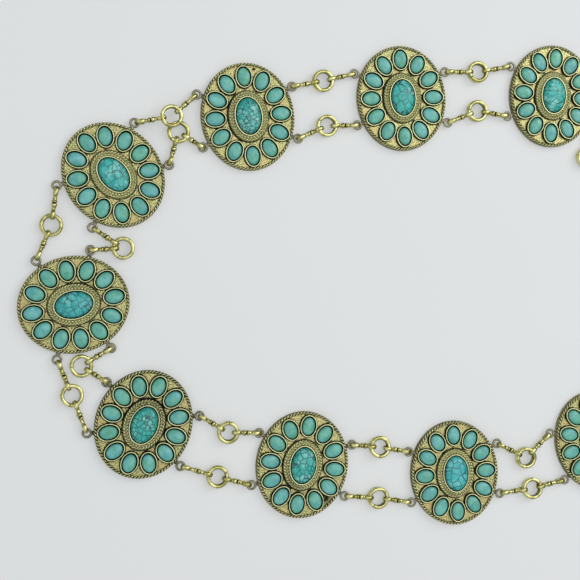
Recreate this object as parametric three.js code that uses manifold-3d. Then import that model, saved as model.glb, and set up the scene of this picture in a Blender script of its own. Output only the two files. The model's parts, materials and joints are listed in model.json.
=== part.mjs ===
// Belly dance belt: oval cast medallions set with cabochons, joined side by side by two
// strands of bar links and rings, laid flat as a closed loop.
// Lengths are millimetres and angles degrees. The belt lies on z = 0.
import * as THREE from 'three';
import { mergeVertices } from 'three/addons/utils/BufferGeometryUtils.js';
import Module from 'manifold-3d';

const wasm = await Module();
wasm.setup();

// Medallion: its long axis runs across the belt
const medallionAlong = 44;
const medallionAcross = 50;
const faceHeight = 2.8;
const rimHeight = 3.8;
const sideLean = 0.6; // the side wall leans in up to the crest of the rim
const rimSlope = 0.5; // the crest falls back to the face over this width
const medallionSides = 16;

// Twelve small cabochons in bezels, all pointing at the centre
const smallStoneCount = 12;
const smallStoneLength = 10.4;
const smallStoneTop = 5.0;
const smallStoneCrown = 0.6; // size of the flat top as a share of the outline
const smallStoneMargin = 0.05; // left between the bezels and the foot of the rim
const smallStoneGap = 0.53; // left between neighbours, on the oval through their middles
const smallStoneSides = 10;

// Collar round the centre stone, and the pocket that it sits in
const collarGapAlong = 0.85; // from the small bezels to the collar
const collarGapAcross = 1.3;
const collarWidth = 3.3;
const collarHeight = 4.5;
const pocketFloor = 3.1;
const centerStoneTop = 7.0;
const centerStoneGirdle = 5.0; // height where the wall turns into the dome
const centerStoneCrown = 0.55;
const centerSides = 12;
const seatGap = 0.3;

// Ears: four flat eyelets cast on each medallion
const earOut = 0.2; // how far the eyelet's centre lies past the medallion's end
const earShare = 0.48; // how far across it lies, as a share of the medallion's half width
const earHole = 2.6;
const earWall = 1.0;
const earThickness = 1.0;
const earNeck = 2.6; // width of the neck
const earRoot = 4.0; // how far the neck runs in from the eyelet's centre
const earAim = 0.75; // turns the neck from the medallion's centre towards the belt's direction

// Strand: bar link, ring, bar link. Each bar's end loop passes through an ear.
const barReach = 16.5; // from an ear's middle to a ring's, pulled straight
const loopWire = 0.9;
const loopHeight = 4.4;
const loopLength = 4.7;
const barThickness = 1.6;
const barKnuckle = 2.7;
const knuckleLength = 2.4;
const barNeck = 1.0; // where the bar's full thickness starts, from the loop and from the ring
const ringOuter = 10.6;
const ringWire = 1.8; // thickness of its wall
const ringTall = 3.4;
const liftGap = 0.4; // between a ring and one that lies on top of it
const floorGap = 0.1; // the strands hang this little above what the medallions rest on

// Clasp: a plain hook, bent up at both ends, that holds the rings of the belt's two ends
const hookWire = 1.6;
const hookSlack = 1.25; // left between a ring's wire and the bend that holds it
const hookTip = 2.2; // length of the straight tip
const hookPlay = 0.5; // left above and below the ring's wall

// How finely the round things are divided
const earHoleSides = 6;
const earArcSteps = 4;
const loopSides = 6;
const wireSides = 5;
const ringSides = 10;
const flatness = 0.002; // triangles that lie this flat are joined

// Where the medallions lie, in order round the loop from one end of the belt to the other,
// as shares of their pitch on the belt pulled straight. The heading points along the belt,
// towards the medallion before.
const beltRoute = [
  { x: 1.5762, y: 0.7558, heading: -62 },
  { x: 0.9147, y: 1.1796, heading: -4 },
  { x: -0.0685, y: 1.1305, heading: 3.4 },
  { x: -1.0142, y: 0.9884, heading: 6.8 },
  { x: -1.7972, y: 0.6279, heading: 40.1 },
  { x: -2.0207, y: -0.1163, heading: 101.7 },
  { x: -1.6240, y: -0.8088, heading: 159 },
  { x: -0.6860, y: -1.0724, heading: 171.4 },
  { x: 0.2713, y: -1.1525, heading: 183.4 },
  { x: 1.2235, y: -0.9845, heading: 198.4 },
  { x: 1.7700, y: -0.4199, heading: 256 },
];

// How each strand's ring lies between its two ears: how far along the straight line from the
// earlier medallion's ear to the later one's, how far to the left of that line, both as shares
// of the bar's reach, and whether it lies on another ring.
const strandRoute = [
  { outer: { along: 1.02, aside: 0.10 }, inner: { along: 0.31, aside: 0.91 } },
  { outer: { along: 1.04, aside: 0.08 }, inner: { along: 0.91, aside: -0.24 } },
  { outer: { along: 0.94, aside: 0.02 }, inner: { along: 0.87, aside: -0.17 } },
  { outer: { along: 0.92, aside: 0.27, lifted: true }, inner: { along: 0.40, aside: -0.67 } },
  { outer: { along: 1.06, aside: 0.14 }, inner: { along: 0.48, aside: 0.86 } },
  { outer: { along: 1.04, aside: 0.01 }, inner: { along: 0.57, aside: -0.72 } },
  { outer: { along: 1.07, aside: -0.02 }, inner: { along: 0.90, aside: -0.22 } },
  { outer: { along: 0.99, aside: 0.04 }, inner: { along: 0.82, aside: 0.03 } },
  { outer: { along: 1.01, aside: -0.05 }, inner: { along: 0.82, aside: -0.57 } },
  { outer: { along: 1.01, aside: 0.10 }, inner: { along: 0.32, aside: 0.91 } },
];

const antiqueMetal = new THREE.MeshStandardMaterial({ color: 0xa39a63, metalness: 0.9, roughness: 0.45 });
const chainBrass = new THREE.MeshStandardMaterial({ color: 0xb9b34e, metalness: 1, roughness: 0.25 });
const turquoise = new THREE.MeshStandardMaterial({ color: 0x3aa6a6, metalness: 0, roughness: 0.3 });

// Sizes worked out from the ones above
const faceShare = 1 - (sideLean + rimSlope) / (medallionAlong / 2);
const stoneShare = faceShare * Math.cos(Math.PI / medallionSides);
const stoneEdgeAlong = (stoneShare * medallionAlong) / 2 - smallStoneMargin;
const stoneEdgeAcross = (stoneShare * medallionAcross) / 2 - smallStoneMargin;
const stoneOvalAlong = stoneEdgeAlong - smallStoneLength / 2;
const stoneOvalAcross = stoneEdgeAcross - smallStoneLength / 2;
const smallStoneWidth = ovalLength(stoneOvalAlong, stoneOvalAcross) / smallStoneCount - smallStoneGap;
const collarAlong = 2 * (stoneEdgeAlong - smallStoneLength - collarGapAlong);
const collarAcross = 2 * (stoneEdgeAcross - smallStoneLength - collarGapAcross);
const centerStoneAlong = collarAlong - 2 * collarWidth;
const centerStoneAcross = collarAcross - 2 * collarWidth;
const earAlong = medallionAlong / 2 + earOut;
const earAcross = (earShare * medallionAcross) / 2;
const pitch = 2 * (earAlong + barReach);
const loopHalfHeight = (loopHeight - loopWire) / 2;
const loopHalfLength = (loopLength - loopWire) / 2;
const strandHeight = loopHeight / 2 + floorGap;
const ringRadius = (ringOuter - ringWire) / 2;
const loopOffset = loopHalfLength; // the near end of each loop stands in the middle of the ear
const ringLift = ringTall + liftGap;
const hookBend = ringTall + hookWire + 2 * hookPlay; // from the bar's middle to the bent end's
const endRingHeight = (hookBend + hookWire) / 2;

const radians = THREE.MathUtils.degToRad;
const xAxis = new THREE.Vector3(1, 0, 0);
const yAxis = new THREE.Vector3(0, 1, 0);
const zAxis = new THREE.Vector3(0, 0, 1);

function ovalLength(halfAlong, halfAcross) {
  const mixed = (3 * halfAlong + halfAcross) * (halfAlong + 3 * halfAcross);
  return Math.PI * (3 * (halfAlong + halfAcross) - Math.sqrt(mixed));
}

function ovalPoint(halfAlong, halfAcross, angle, z) {
  return new THREE.Vector3(halfAlong * Math.cos(angle), halfAcross * Math.sin(angle), z);
}

function oval(halfAlong, halfAcross, sides, z) {
  const points = [];
  for (let i = 0; i < sides; i += 1) {
    points.push(ovalPoint(halfAlong, halfAcross, (i / sides) * 2 * Math.PI, z));
  }
  return points;
}

// A closed skin put together from rings of points, each listed anticlockwise from above
class Skin {
  constructor() {
    this.points = [];
    this.faces = [];
  }

  ring(points) {
    const first = this.points.length;
    this.points.push(...points);
    return points.map((point, i) => first + i);
  }

  // Joins two rings with as many points, the first of them outside or below
  band(from, to) {
    for (let i = 0; i < from.length; i += 1) {
      const next = (i + 1) % from.length;
      this.faces.push([from[i], from[next], to[next]], [from[i], to[next], to[i]]);
    }
  }

  // Joins a ring to one with half as many points above it
  halvingBand(from, to) {
    for (let i = 0; i < to.length; i += 1) {
      const next = (i + 1) % to.length;
      const middle = from[2 * i + 1];
      this.faces.push([from[2 * i], middle, to[i]], [middle, to[next], to[i]]);
      this.faces.push([middle, from[2 * next], to[next]]);
    }
  }

  // Joins two open rows of points
  strip(from, to) {
    for (let i = 0; i + 1 < from.length; i += 1) {
      this.faces.push([from[i], from[i + 1], to[i + 1]], [from[i], to[i + 1], to[i]]);
    }
  }

  // Joins two rings with any numbers of points round the line from middle along left x above
  sleeve(from, to, middle, left, above) {
    const sorted = (ring) => {
      const turns = ring.map((index) => {
        const arm = this.points[index].clone().sub(middle);
        return { index, turn: Math.atan2(arm.dot(above), arm.dot(left)) };
      }).sort((a, b) => a.turn - b.turn);
      return [...turns, { index: turns[0].index, turn: turns[0].turn + 2 * Math.PI }];
    };
    const lower = sorted(from);
    const upper = sorted(to);
    let i = 0;
    let j = 0;
    while (i < from.length || j < to.length) {
      const lowerNext = i < from.length ? lower[i + 1].turn : Infinity;
      const upperNext = j < to.length ? upper[j + 1].turn : Infinity;
      if (lowerNext < upperNext) {
        this.faces.push([lower[i].index, lower[i + 1].index, upper[j].index]);
        i += 1;
      } else {
        this.faces.push([lower[i].index, upper[j + 1].index, upper[j].index]);
        j += 1;
      }
    }
  }

  // Closes the first and last section of a wire
  sealEnds(first, last) {
    for (let i = 1; i + 1 < first.length; i += 1) {
      this.faces.push([first[0], first[i + 1], first[i]], [last[0], last[i], last[i + 1]]);
    }
  }

  // Fills a level ring, round any holes, facing up or down
  cap(outline, holes, facesUp) {
    const flat = (ring) => ring.map((i) => new THREE.Vector2(this.points[i].x, this.points[i].y));
    const order = [outline, ...holes].flat();
    for (const face of THREE.ShapeUtils.triangulateShape(flat(outline), holes.map(flat))) {
      const corners = face.map((i) => order[i]);
      const turnsLeft = THREE.ShapeUtils.area(flat(corners)) > 0;
      this.faces.push(turnsLeft === facesUp ? corners : corners.reverse());
    }
  }

  geometry() {
    const geometry = new THREE.BufferGeometry();
    const positions = this.points.flatMap((point) => point.toArray());
    geometry.setAttribute('position', new THREE.Float32BufferAttribute(positions, 3));
    geometry.setIndex(this.faces.flat());
    return geometry;
  }
}

function toSolid(geometry) {
  const bare = geometry.clone();
  bare.deleteAttribute('normal');
  bare.deleteAttribute('uv');
  const merged = mergeVertices(bare, 1e-4);
  const vertProperties = new Float32Array(merged.attributes.position.array);
  const triVerts = new Uint32Array(merged.index.array);
  return new wasm.Manifold(new wasm.Mesh({ numProp: 3, vertProperties, triVerts }));
}

function toGeometry(solid) {
  const { vertProperties, triVerts } = solid.getMesh();
  const geometry = new THREE.BufferGeometry();
  geometry.setAttribute('position', new THREE.Float32BufferAttribute(vertProperties, 3));
  geometry.setIndex(Array.from(triVerts));
  geometry.computeVertexNormals();
  return geometry;
}

// The cabochons stand evenly along the oval, a little closer in angle where it runs straight
function smallStoneRings(skin) {
  const spread = (stoneOvalAcross - stoneOvalAlong) / (stoneOvalAcross + stoneOvalAlong) / 2;
  const bases = [];
  for (let i = 0; i < smallStoneCount; i += 1) {
    const aim = (i / smallStoneCount) * 2 * Math.PI;
    const turn = aim - spread * Math.sin(2 * aim);
    const middle = ovalPoint(stoneOvalAlong, stoneOvalAcross, turn, 0);
    const place = new THREE.Matrix4().makeRotationZ(aim).setPosition(middle);
    const outline = (share, sides, z) => oval(
      (share * smallStoneLength) / 2, (share * smallStoneWidth) / 2, sides, z,
    ).map((point) => point.applyMatrix4(place));
    const base = skin.ring(outline(1, smallStoneSides, faceHeight));
    const crown = skin.ring(outline(smallStoneCrown, smallStoneSides / 2, smallStoneTop));
    skin.halvingBand(base, crown);
    skin.cap(crown, [], true);
    bases.push(base);
  }
  return bases;
}

// The foot, side wall, raised rim, face with its stones, and the collar with its pocket
function castingSolid() {
  const skin = new Skin();
  // The rim's ovals keep the medallion's proportions, so that each side facet is flat
  const rimOval = (share, z) => skin.ring(
    oval((share * medallionAlong) / 2, (share * medallionAcross) / 2, medallionSides, z),
  );
  const foot = rimOval(1, 0);
  const crest = rimOval(1 - sideLean / (medallionAlong / 2), rimHeight);
  const faceEdge = rimOval(faceShare, faceHeight);
  const collarFoot = skin.ring(oval(collarAlong / 2, collarAcross / 2, centerSides, faceHeight));
  const pocketAlong = centerStoneAlong / 2 + seatGap;
  const pocketAcross = centerStoneAcross / 2 + seatGap;
  const pocketEdge = skin.ring(oval(pocketAlong, pocketAcross, centerSides, collarHeight));
  const pocketFoot = skin.ring(oval(pocketAlong, pocketAcross, centerSides, pocketFloor));
  skin.cap(foot, [], false);
  skin.band(foot, crest);
  skin.band(crest, faceEdge);
  skin.cap(faceEdge, [...smallStoneRings(skin), collarFoot], true);
  skin.band(collarFoot, pocketEdge);
  skin.band(pocketEdge, pocketFoot);
  skin.cap(pocketFoot, [], true);
  return toSolid(skin.geometry());
}

// One eyelet with the neck that roots it in the side wall
function earSolid(sideAlong, sideAcross) {
  const outerRadius = earHole / 2 + earWall;
  const neckAngle = Math.PI - Math.asin(earNeck / 2 / outerRadius);
  const shape = new THREE.Shape();
  shape.moveTo(-earRoot, -earNeck / 2);
  for (let i = 0; i <= earArcSteps; i += 1) {
    const angle = (i / earArcSteps) * 2 * neckAngle - neckAngle;
    shape.lineTo(outerRadius * Math.cos(angle), outerRadius * Math.sin(angle));
  }
  shape.lineTo(-earRoot, earNeck / 2);
  shape.closePath();
  const hole = oval(earHole / 2, earHole / 2, earHoleSides, 0);
  shape.holes.push(new THREE.Path(hole.map((point) => new THREE.Vector2(point.x, point.y))));
  const geometry = new THREE.ExtrudeGeometry(shape, { depth: earThickness, bevelEnabled: false });
  geometry.rotateZ(Math.atan2(sideAcross * earAcross * earAim, sideAlong * earAlong));
  geometry.translate(sideAlong * earAlong, sideAcross * earAcross, strandHeight - earThickness / 2);
  return toSolid(geometry);
}

function medallionGeometry() {
  let solid = castingSolid();
  for (const sideAlong of [-1, 1]) {
    for (const sideAcross of [-1, 1]) {
      solid = solid.add(earSolid(sideAlong, sideAcross));
    }
  }
  return toGeometry(solid.asOriginal().simplify(flatness));
}

function centerStoneGeometry() {
  const skin = new Skin();
  const ringAt = (share, sides, z) => skin.ring(
    oval((share * centerStoneAlong) / 2, (share * centerStoneAcross) / 2, sides, z),
  );
  const foot = ringAt(1, centerSides, pocketFloor + seatGap);
  const girdle = ringAt(1, centerSides, centerStoneGirdle);
  const crown = ringAt(centerStoneCrown, centerSides / 2, centerStoneTop);
  skin.cap(foot, [], false);
  skin.band(foot, girdle);
  skin.halvingBand(girdle, crown);
  skin.cap(crown, [], true);
  return toGeometry(toSolid(skin.geometry()));
}

function earPlace(medallion, sideAlong, sideAcross) {
  const turn = radians(medallion.heading);
  return new THREE.Vector3(sideAlong * earAlong, sideAcross * earAcross, strandHeight)
    .applyAxisAngle(zAxis, turn)
    .add(new THREE.Vector3(medallion.x, medallion.y, 0));
}

// A right-handed set of directions: ahead, to the left of it, and square to both
function directions(ahead) {
  const left = new THREE.Vector3(-ahead.y, ahead.x, 0).normalize();
  return { ahead, left, above: new THREE.Vector3().crossVectors(ahead, left) };
}

// A wire bent round a flat path, anticlockwise about the normal, with a flat side outwards.
// Its height is its size along the normal.
// Returns the corners of that side where the stretches named in openings leave it out.
function bendWire(skin, path, normal, thickness, isClosed, openings = [], height = thickness) {
  const count = path.length;
  const heading = (i) => {
    const next = isClosed ? path[(i + 1) % count] : path[Math.min(i, count - 2) + 1];
    const here = isClosed ? path[i % count] : path[Math.min(i, count - 2)];
    return new THREE.Vector3().subVectors(next, here).normalize();
  };
  const sections = path.map((point, i) => {
    const arriving = heading(isClosed ? i + count - 1 : Math.max(i - 1, 0));
    const between = heading(i).add(arriving).normalize();
    const outwards = new THREE.Vector3().crossVectors(between, normal);
    const stretch = 1 / arriving.dot(between);
    const corners = [];
    for (let k = 0; k < wireSides; k += 1) {
      const angle = ((0.5 - k) / wireSides) * 2 * Math.PI;
      corners.push(point.clone()
        .addScaledVector(outwards, (stretch * thickness * Math.cos(angle)) / 2)
        .addScaledVector(normal, (height * Math.sin(angle)) / 2));
    }
    return skin.ring(corners);
  });
  const corners = [];
  for (let i = 0; i < (isClosed ? count : count - 1); i += 1) {
    const from = sections[i];
    const to = sections[(i + 1) % count];
    if (openings.includes(i)) {
      skin.strip([...from.slice(1), from[0]], [...to.slice(1), to[0]]);
      corners[openings.indexOf(i)] = [from[0], from[1], to[1], to[0]];
    } else {
      skin.band(from, to);
    }
  }
  return { corners, sections };
}

function roundPath(middle, along, up, halfAlong, halfUp, angles) {
  return angles.map((angle) => middle.clone()
    .addScaledVector(along, halfAlong * Math.cos(angle))
    .addScaledVector(up, halfUp * Math.sin(angle)));
}

// A level ring with one short flat facing each bar that it holds
function addRing(skin, middle, bearings) {
  const halfFlat = Math.asin(barThickness / 2 / ringRadius);
  const [first, second] = [...bearings].sort((a, b) => a - b);
  const spans = [second - first, first + 2 * Math.PI - second].map((span) => span - 2 * halfFlat);
  const spare = ringSides - 4;
  const firstShare = Math.round((spare * spans[0]) / (spans[0] + spans[1]));
  const counts = [firstShare, spare - firstShare];
  const angles = [];
  [first, second].forEach((bearing, side) => {
    angles.push(bearing - halfFlat);
    for (let i = 0; i <= counts[side]; i += 1) {
      angles.push(bearing + halfFlat + (i / (counts[side] + 1)) * spans[side]);
    }
  });
  const path = roundPath(middle, xAxis, yAxis, ringRadius, ringRadius, angles);
  const openings = [0, counts[0] + 2];
  const { corners } = bendWire(skin, path, zAxis, ringWire, true, openings, ringTall);
  return bearings.map((bearing) => corners[bearing === first ? 0 : 1]);
}

// A bar from its end loop, which is linked through the ear, to the wire of the ring
function addBar(skin, ear, ringMiddle, ringCorners) {
  const level = ringMiddle.clone().sub(ear).setZ(0).normalize();
  const loopMiddle = ear.clone().addScaledVector(level, loopOffset);
  const wirePoint = ringMiddle.clone().addScaledVector(level, -ringRadius - ringWire / 2);
  const { ahead, left, above } = directions(wirePoint.clone().sub(loopMiddle).normalize());
  const halfSide = Math.PI / loopSides;
  const angles = Array.from({ length: loopSides }, (none, i) => (2 * i - 1) * halfSide);
  const halfAlong = loopHalfLength / Math.cos(halfSide);
  const path = roundPath(loopMiddle, ahead, above, halfAlong, loopHalfHeight, angles);
  const normal = new THREE.Vector3().crossVectors(ahead, above);
  const { corners } = bendWire(skin, path, normal, loopWire, true, [0]);

  const start = loopHalfLength + loopWire / 2;
  const length = loopMiddle.distanceTo(wirePoint) - start;
  const knuckle = Math.min(knuckleLength, length / 2) / 2;
  const section = (distance, thickness) => {
    const middle = loopMiddle.clone().addScaledVector(ahead, start + distance);
    const turns = Array.from({ length: wireSides }, (none, k) => (k / wireSides) * 2 * Math.PI);
    return skin.ring(roundPath(middle, left, above, thickness / 2, thickness / 2, turns));
  };
  const rings = [
    corners[0],
    section(barNeck, barThickness),
    section(length / 2 - knuckle, barKnuckle),
    section(length / 2 + knuckle, barKnuckle),
    section(length - barNeck, barThickness),
    ringCorners,
  ];
  for (let i = 1; i < rings.length; i += 1) {
    skin.sleeve(rings[i - 1], rings[i], loopMiddle, left, above);
  }
}

function ringBetween(fromEar, toEar, place) {
  const across = new THREE.Vector3().subVectors(toEar, fromEar).normalize();
  const left = new THREE.Vector3(-across.y, across.x, 0);
  const middle = fromEar.clone().addScaledVector(across, place.along * barReach);
  middle.addScaledVector(left, place.aside * barReach);
  middle.z += place.lifted ? ringLift : 0;
  return middle;
}

// Two bars and the ring that joins them, as one body
function strandGeometry(ears, ringMiddle) {
  const skin = new Skin();
  const bearings = ears.map((ear) => Math.atan2(ear.y - ringMiddle.y, ear.x - ringMiddle.x));
  const corners = addRing(skin, ringMiddle, bearings);
  ears.forEach((ear, i) => addBar(skin, ear, ringMiddle, corners[i]));
  return toGeometry(toSolid(skin.geometry()));
}

// At each end of the belt both bars run to one ring, halfway between the two ears
function endRing(medallion, sideAlong) {
  const reachAlong = earAlong + Math.sqrt(barReach ** 2 - earAcross ** 2);
  return new THREE.Vector3(sideAlong * reachAlong, 0, endRingHeight)
    .applyAxisAngle(zAxis, radians(medallion.heading))
    .add(new THREE.Vector3(medallion.x, medallion.y, 0));
}

// The hook lies with its bar on the surface and holds a ring in the bend at each end
function hookGeometry(ringDistance) {
  const skin = new Skin();
  const bend = hookBend / 2;
  const hookEnd = ringDistance / 2 - ringRadius + ringWire / 2 + hookSlack + hookWire;
  const bendMiddle = hookEnd - hookWire / 2 - bend;
  const half = [-90, -45, 0, 45, 90].map((angle) => [
    bendMiddle + bend * Math.cos(radians(angle)), bend + bend * Math.sin(radians(angle)),
  ]);
  half.push([bendMiddle - hookTip, hookBend]);
  const otherHalf = [...half].reverse().map(([along, rise]) => [-along, rise]);
  const path = [...otherHalf, ...half].map(([along, rise]) => new THREE.Vector3(along, 0, rise));
  const normal = yAxis.clone().negate();
  const { sections } = bendWire(skin, path, normal, hookWire, false);
  skin.sealEnds(sections[0], sections[sections.length - 1]);
  return toGeometry(toSolid(skin.geometry()));
}

const belt = new THREE.Group();

function addPiece(name, geometry, material) {
  const mesh = new THREE.Mesh(geometry, material);
  mesh.name = name;
  belt.add(mesh);
  return mesh;
}

const number = (i) => String(i + 1).padStart(2, '0');

const medallionShape = medallionGeometry();
const centerStoneShape = centerStoneGeometry();
const medallions = beltRoute.map(({ x, y, heading }) => ({ x: x * pitch, y: y * pitch, heading }));
medallions.forEach((medallion, i) => {
  const casting = addPiece(`medallion_${number(i)}`, medallionShape, antiqueMetal);
  const stone = addPiece(`center_stone_${number(i)}`, centerStoneShape, turquoise);
  for (const piece of [casting, stone]) {
    piece.position.set(medallion.x, medallion.y, 0);
    piece.rotation.z = radians(medallion.heading);
  }
});

strandRoute.forEach((places, i) => {
  for (const [side, sideAcross] of [['outer', 1], ['inner', -1]]) {
    const fromEar = earPlace(medallions[i], -1, sideAcross);
    const toEar = earPlace(medallions[i + 1], 1, sideAcross);
    const geometry = strandGeometry([fromEar, toEar], ringBetween(fromEar, toEar, places[side]));
    addPiece(`strand_${number(i)}_${side}`, geometry, chainBrass);
  }
});

const beltEnds = [[medallions[0], 1], [medallions[medallions.length - 1], -1]];
const endRings = beltEnds.map(([medallion, sideAlong]) => endRing(medallion, sideAlong));
beltEnds.forEach(([medallion, sideAlong], i) => {
  const ears = [-1, 1].map((sideAcross) => earPlace(medallion, sideAlong, sideAcross));
  addPiece(`clasp_end_${number(i)}`, strandGeometry(ears, endRings[i]), chainBrass);
});
const hook = addPiece('clasp_hook', hookGeometry(endRings[0].distanceTo(endRings[1])), chainBrass);
hook.position.lerpVectors(endRings[0], endRings[1], 0.5).setZ(hookWire / 2);
hook.rotation.z = Math.atan2(endRings[1].y - endRings[0].y, endRings[1].x - endRings[0].x);

// The origin is the middle of the belt's underside
const box = new THREE.Box3().setFromObject(belt, true);
const middle = box.getCenter(new THREE.Vector3());
belt.position.set(-middle.x, -middle.y, -box.min.z);

export default belt;
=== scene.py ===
import json
import math
import random

import bmesh
import bpy
import numpy as np
from mathutils import Matrix, Vector, noise

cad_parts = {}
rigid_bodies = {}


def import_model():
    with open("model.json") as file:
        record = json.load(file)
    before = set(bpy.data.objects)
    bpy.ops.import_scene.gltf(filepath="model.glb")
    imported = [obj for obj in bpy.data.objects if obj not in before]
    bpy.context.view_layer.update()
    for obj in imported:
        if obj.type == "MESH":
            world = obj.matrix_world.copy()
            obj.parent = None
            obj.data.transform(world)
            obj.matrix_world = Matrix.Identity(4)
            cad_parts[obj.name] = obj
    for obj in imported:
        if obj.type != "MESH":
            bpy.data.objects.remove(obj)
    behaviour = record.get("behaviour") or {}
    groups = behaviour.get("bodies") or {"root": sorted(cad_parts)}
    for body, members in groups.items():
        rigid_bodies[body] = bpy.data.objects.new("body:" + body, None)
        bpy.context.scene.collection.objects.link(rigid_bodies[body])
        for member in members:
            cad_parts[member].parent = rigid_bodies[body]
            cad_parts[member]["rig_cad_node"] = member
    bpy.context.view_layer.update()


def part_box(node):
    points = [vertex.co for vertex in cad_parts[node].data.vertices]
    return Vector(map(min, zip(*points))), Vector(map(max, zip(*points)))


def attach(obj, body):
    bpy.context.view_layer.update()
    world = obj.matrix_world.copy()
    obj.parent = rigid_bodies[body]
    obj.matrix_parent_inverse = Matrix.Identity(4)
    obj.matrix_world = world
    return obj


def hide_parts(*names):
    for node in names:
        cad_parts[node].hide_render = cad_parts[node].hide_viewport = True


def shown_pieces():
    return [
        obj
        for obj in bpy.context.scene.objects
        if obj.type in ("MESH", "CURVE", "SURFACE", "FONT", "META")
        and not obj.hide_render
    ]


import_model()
mm = 0.001
fullTurn = 2 * math.pi
upwards = np.array([0.0, 0.0, 1.0])


# Camera, first of all: it looks down from half a metre and leans 12 degrees to one side
camera = {"place": (-0.15429, -0.00354, 0.497), "lean": -12.0, "lens": 68.28, "sensor": 36.0,
          "nearest": 0.01}

cameraData = bpy.data.cameras.new("camera")
cameraData.sensor_width = camera["sensor"]
cameraData.lens = camera["lens"]
cameraData.clip_start = camera["nearest"]
cameraObject = bpy.data.objects.new("camera", cameraData)
cameraObject.location = camera["place"]
cameraObject.rotation_euler = (0, math.radians(camera["lean"]), 0)
bpy.context.scene.collection.objects.link(cameraObject)
bpy.context.scene.camera = cameraObject
print("camera is in place")


# Points and faces in millimetres, with two values a point: how far it lies in a recess or in shade,
# where patina and painted shade darken it, and a tint that sets one kind of surface, or one stone, off from
# another
class Form:
    def __init__(self):
        self.points = []
        self.faces = []
        self.patinaAndShade = []
        self.tint = []
        self.count = 0

    def add(self, points, faces, patinaAndShade=0.0, tint=0.5):
        points = np.asarray(points, float).reshape(-1, 3)
        self.points.append(points)
        self.faces += [(np.asarray(block) + self.count).tolist() for block in faces]
        self.patinaAndShade.append(np.broadcast_to(np.asarray(patinaAndShade, float), (len(points),)))
        self.tint.append(np.broadcast_to(np.asarray(tint, float), (len(points),)))
        self.count += len(points)

    def mesh(self, name, sharpAngle=None):
        mesh = bpy.data.meshes.new(name)
        points = np.vstack(self.points) * mm
        mesh.from_pydata(points.tolist(), [], [face for block in self.faces for face in block])
        for label, values in (("patinaAndShade", self.patinaAndShade), ("tint", self.tint)):
            attribute = mesh.attributes.new(label, "FLOAT", "POINT")
            attribute.data.foreach_set("value", np.concatenate(values).astype(np.float32))
        mesh.shade_smooth()
        if sharpAngle:
            mesh.set_sharp_from_angle(angle=math.radians(sharpAngle))
        return mesh


# Quads between rows of points, all of them with the same number of columns
def gridFaces(rows, columns, closeRows=False):
    row, column = np.meshgrid(np.arange(rows if closeRows else rows - 1), np.arange(columns), indexing="ij")
    nextRow = (row + 1) % rows
    nextColumn = (column + 1) % columns
    corners = [row * columns + column, row * columns + nextColumn,
               nextRow * columns + nextColumn, nextRow * columns + column]
    return np.stack(corners, -1).reshape(-1, 4)


# Triangles from one row of points to a single point
def fanFaces(first, columns, tip, turned=False):
    here = first + np.arange(columns)
    following = first + (np.arange(columns) + 1) % columns
    ends = (following, here) if turned else (here, following)
    return np.stack([*ends, np.full(columns, tip)], -1)


# Points spread evenly along an oval, with the directions outwards and ahead at each
def ovalFrame(halfAlong, halfAcross, count):
    angle = np.linspace(0, fullTurn, 1441)  # quarter degrees, to measure the length by
    path = np.stack([halfAlong * np.cos(angle), halfAcross * np.sin(angle)], -1)
    length = np.concatenate([[0], np.cumsum(np.linalg.norm(np.diff(path, axis=0), axis=1))])
    angle = np.interp(np.arange(count) / count * length[-1], length, angle)
    flat = np.zeros(count)
    points = np.stack([halfAlong * np.cos(angle), halfAcross * np.sin(angle), flat], -1)
    outwards = np.stack([np.cos(angle) / halfAlong, np.sin(angle) / halfAcross, flat], -1)
    ahead = np.stack([-halfAlong * np.sin(angle), halfAcross * np.cos(angle), flat], -1)
    outwards /= np.linalg.norm(outwards, axis=1)[:, None]
    ahead /= np.linalg.norm(ahead, axis=1)[:, None]
    return points, outwards, ahead, length[-1]


def turnedBy(points, angle, shift=(0, 0, 0)):
    c, s = math.cos(angle), math.sin(angle)
    return points @ np.array([[c, s, 0], [-s, c, 0], [0, 0, 1]]) + np.array(shift)


def smoothStep(low, high, value):
    share = np.clip((value - low) / (high - low), 0, 1)
    return share * share * (3 - 2 * share)


# A wall that follows an oval. Its profile gives distance outwards, height and darkness, patina and painted
# shade.
def ovalWall(form, halfAlong, halfAcross, profile, count, tint, angle=0.0, shift=(0, 0, 0)):
    points, outwards, _, _ = ovalFrame(halfAlong, halfAcross, count)
    rows = [points + out * outwards + height * upwards for out, height, _ in profile]
    patinaAndShade = np.repeat([row[2] for row in profile], count)
    place = turnedBy(np.vstack(rows), angle, shift)
    form.add(place, [gridFaces(len(profile), count, closeRows=True)[:, ::-1]], patinaAndShade, tint)


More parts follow.
